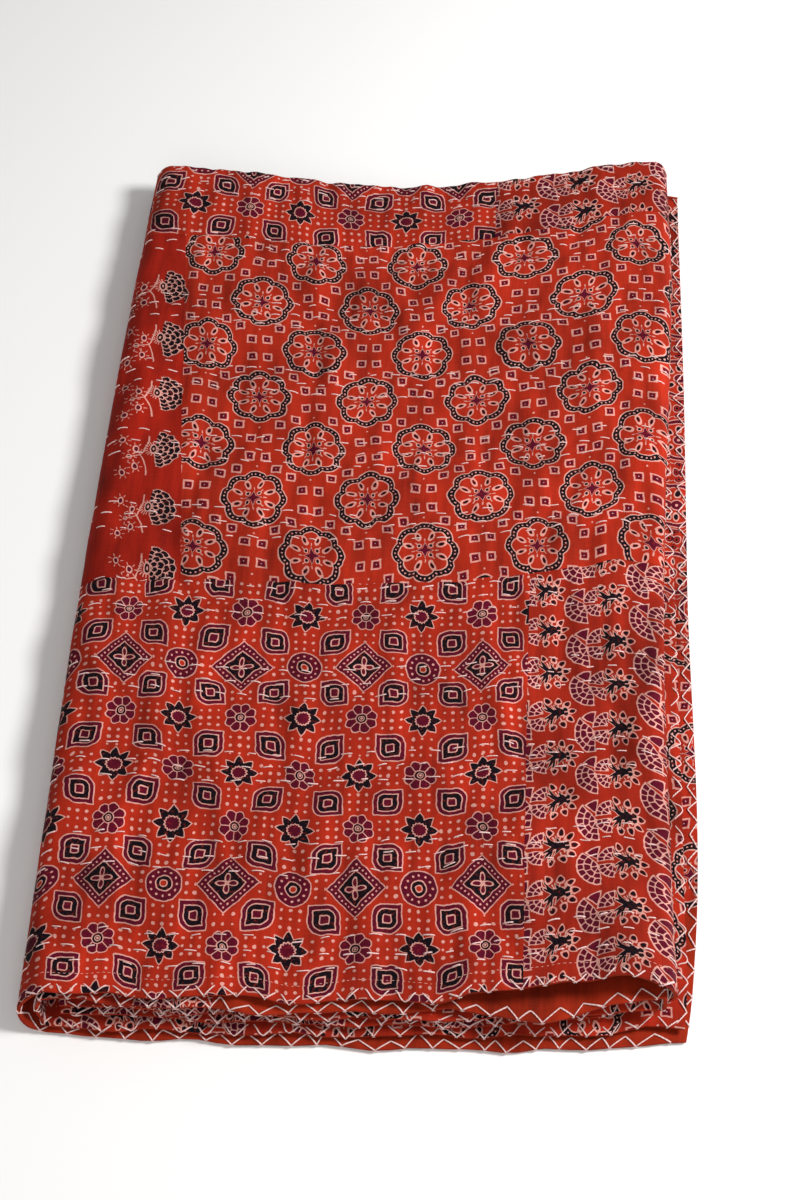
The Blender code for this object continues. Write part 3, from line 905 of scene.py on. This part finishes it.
def sewThread(name, paths, faces, sizes, material):
    # one tapered tube per path, bent along it over the cloth. A path's points are across, along and height.
    bm = bmesh.new()
    bmesh.ops.create_cone(bm, cap_ends=True, segments=sizes["sides"], radius1=1, radius2=1, depth=1)
    lengthwise = [edge for edge in bm.edges if abs(edge.verts[0].co.z - edge.verts[1].co.z) > 0.5]
    bmesh.ops.subdivide_edges(bm, edges=lengthwise, cuts=sizes["cuts"])
    template = np.array([vert.co for vert in bm.verts])
    stitch = meshFrom(bm, "stitch")

    t, turn = template[:, 2] + 0.5, np.arctan2(template[:, 1], template[:, 0])
    near = 0.04
    centre = onPaths(paths, t)
    way = onPaths(paths, np.minimum(t + near, 1)) - onPaths(paths, np.maximum(t - near, 0))
    way = way[..., :2] / np.linalg.norm(way[..., :2], axis=2, keepdims=True)
    taper = np.clip(np.minimum(t, 1 - t) / 0.1, 0.25, 1) ** 0.6
    aside = np.cos(turn) * taper * sizes["halfWidth"]
    across = (centre[..., 0] - way[..., 1] * aside).ravel()
    along = (centre[..., 1] + way[..., 0] * aside).ravel()
    height = (centre[..., 2] + np.sin(turn) * taper * sizes["halfHeight"]).ravel()
    places = onFace(across, along, np.repeat(np.broadcast_to(faces, len(paths)), len(t)), height)
    places[:, 2] = np.maximum(places[:, 2], 0)  # pressed flat where the quilt lies on them

    bm = bmesh.new()
    for _ in range(len(paths)):
        bm.from_mesh(stitch)
    for vert, place in zip(bm.verts, places):
        vert.co = place
    bmesh.ops.recalc_face_normals(bm, faces=bm.faces)
    mesh = meshFrom(bm, name)
    mesh.shade_smooth()
    mesh.materials.append(material)
    run = np.linalg.norm(np.diff(paths[..., :2], axis=1), axis=2).sum(axis=1)
    around = np.tile(np.stack((np.cos(turn), np.sin(turn)), axis=1), (len(paths), 1))
    lay = np.column_stack((around, np.outer(run, t).ravel() * 1000))
    mesh.attributes.new("lay", "FLOAT_VECTOR", "POINT").data.foreach_set("vector", lay.ravel())
    print(name + ":", len(paths), "stitches")
    return newObject(name, mesh)


def runningStitches():
    # rows of running stitch in groups of three, across the sheet's print face
    paths = []
    f = np.array([0, 0.16, 0.38, 0.62, 0.84, 1.0])
    rise = np.array([-0.0008, 0.0002, 0.0005, 0.0005, 0.0002, -0.0008])
    for group in range(stitching["groups"]):
        for row in (-1, 0, 1):
            middle = sheet["groupFirst"] + group * sheet["groupPitch"] + row * sheet["rowPitch"]
            if not stitching["fromHem"] < middle < alongEnd / 2 + stitching["pastFold"]:
                continue
            at = acrossLow + stitching["fromEdge"] + rng.uniform(0, stitching["stagger"])
            wander = rng.uniform(-1, 1, 3)
            while at < rightTurn + rightArc + 0.01:
                length = rng.uniform(*stitching["length"])
                swing = wander[0] * sin(at * 9 + 4 * wander[1]) + 0.5 * sin(at * 31 + 6 * wander[2])
                along = middle + stitching["drift"] * swing + rng.normal(0, stitching["sway"])
                lean = rng.normal(0, stitching["lean"])
                paths.append(np.stack((at + f * length, along + (f - 0.5) * lean * 2, rise), axis=1))
                at += length + stitching["gap"] * rng.uniform(*stitching["gapShare"])
    return np.array(paths)


def hemEdges():
    # each edge of the sheet, as a function from (way along the edge, way in from it) to a flat place
    return (
        (acrossLow, acrossHigh, lambda t, d: (t, d)),
        (acrossLow, acrossHigh, lambda t, d: (t, alongEnd - d)),
        (0.0, alongEnd, lambda t, d: (acrossLow + d, t)),
        (0.0, alongEnd, lambda t, d: (acrossHigh - d, t)),
    )


def overcastStitches():
    # On the print a V from a hole down to the edge and up to the next, on the reverse from the edge up to
    # a hole, over to its neighbour and back down. Both meet where they pass over the edge.
    paths, faces = [], []
    overRim = -sheet["thickness"] / 2
    printRise = np.array([-0.0007, 0.0004, 0.0006, 0.0004, overRim, 0.0004, 0.0006, 0.0004, -0.0007])
    backRise = np.array([overRim, 0.0005, 0.0006, 0.0005, 0.0004, 0.0005, 0.0006, 0.0005, overRim])
    backShare = np.array([-0.07, 0.0, 0.48, 0.95, 1.03, 0.95, 0.48, 0.0, -0.07])
    corner = overcast["fromCorner"]
    for low, high, toFlat in hemEdges():
        count = round((high - low) / overcast["pitch"])
        holes = np.linspace(low + corner, high - corner, count + 1)
        holes = holes + rng.normal(0, overcast["holeSway"], count + 1)
        holes = np.clip(holes, low + corner / 3, high - corner / 3)
        depths = overcast["reach"] + rng.normal(0, overcast["depthSway"], count + 1)
        turns = (holes[:-1] + holes[1:]) / 2 + rng.normal(0, overcast["turnSway"], count)
        for k in range(count):
            start, end, turn = holes[k] + overcast["gap"] / 2, holes[k + 1] - overcast["gap"] / 2, turns[k]
            bow = rng.choice(overcast["bows"])
            t = [start, (start * 2 + turn) / 3, (start + 2 * turn) / 3 - bow / 2, turn - bow, turn]
            t += [turn + bow, (end + 2 * turn) / 3 + bow / 2, (end * 2 + turn) / 3, end]
            half = np.array([1.0, 0.68, 0.33, 0.03 + bow * 15, -0.07])
            inward = np.append(depths[k] * half, depths[k + 1] * half[-2::-1])
            paths.append(np.stack((*toFlat(np.array(t), inward), printRise), axis=1))
            faces.append(1)
        for k in range(1, count):
            before, hole, after = turns[k - 1], holes[k], turns[k]
            flat = overcast["gap"] * rng.uniform(*overcast["gapShare"])
            t = [before, before + 0.0004, (before + hole - flat) / 2, hole - flat, hole]
            t += [hole + flat, (after + hole + flat) / 2, after - 0.0004, after]
            paths.append(np.stack((*toFlat(np.array(t), depths[k] * backShare), backRise), axis=1))
            faces.append(-1)
    return np.array(paths), np.array(faces)


def machineStitches():
    paths = []
    rise = np.array([-0.0002, 0.00012, -0.0002])
    first, last = machineLine["fromCorners"]
    for low, high, toFlat in hemEdges():
        starts = np.arange(low + first, high - last, machineLine["period"])
        inset = machineLine["inset"] + 0.0005 * np.sin(starts * 23) + 0.0003 * np.sin(starts * 71 + 1)
        for start, d in zip(starts, inset):
            t = start + np.array([0, 0.5, 1.0]) * machineLine["length"]
            paths.append(np.stack((*toFlat(t, np.full(3, d)), rise), axis=1))
    return np.array(paths)


sewn = [
    sewThread("quilting_rows", runningStitches(), 1, stitching, threads["quilting"]),
    sewThread("hem_overcast", *overcastStitches(), overcast, threads["quilting"]),
    sewThread("hem_machine_line", machineStitches(), 1, machineLine, threads["sewing"]),
]
for piece in (quilt, *sewn):
    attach(piece, "root")
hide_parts("quilt_cloth")


studio = {
    "floor": "#FAF9F7",
    "floorAt": -0.0005,
    "camera": (0.0520, -0.7844, 1.242),
    "tilt": (31.0, 0.0, 3.2),
    "lens": 54.3,
    "key": {"at": (1.35, 0.1, 1.4), "size": 0.55, "power": 41},
    "fill": {"at": (-0.1, -1.75, 1.5), "size": 1.6, "power": 11},
    "sky": 0.31,
}


def makeStudio():
    bm = bmesh.new()
    bmesh.ops.create_grid(bm, x_segments=2, y_segments=2, size=6)
    bmesh.ops.translate(bm, vec=(0, 0, studio["floorAt"]), verts=bm.verts)
    floor = newObject("floor", meshFrom(bm, "floor"))
    # matt white paint, faintly uneven
    paint, n = newMaterial("Matt floor paint")
    tone = n("MapRange", noise(n, n("TexCoord", out=3), 1.2), 0.3, 0.7, 0.985, 1.0)
    colour = darkened(n, toLinear(studio["floor"]), tone)
    n("OutputMaterial", n("BsdfPrincipled", colour, named={"Roughness": 0.9}))
    floor.data.materials.append(paint)

    for name in ("key", "fill"):
        lamp = studio[name]
        light = bpy.data.lights.new(name, "AREA")
        light.shape, light.size, light.energy = "DISK", lamp["size"], lamp["power"]
        lightObject = newObject(name, light)
        lightObject.location = lamp["at"]
        lightObject.rotation_euler = (-lightObject.location).to_track_quat("-Z", "Y").to_euler()
    world = bpy.data.worlds.new("Pale studio")
    world.use_nodes = True
    sky = world.node_tree.nodes["Background"]
    sky.inputs["Color"].default_value = (1, 1, 1, 1)
    sky.inputs["Strength"].default_value = studio["sky"]
    scene.world = world

    camera = bpy.data.cameras.new("camera")
    camera.sensor_fit, camera.sensor_height, camera.lens = "VERTICAL", 36, studio["lens"]
    camera.clip_end = 20
    cameraObject = newObject("camera", camera)
    cameraObject.location = studio["camera"]
    cameraObject.rotation_euler = [radians(turn) for turn in studio["tilt"]]
    scene.camera = cameraObject


makeStudio()
scene.view_settings.view_transform = "Standard"

print("finished")
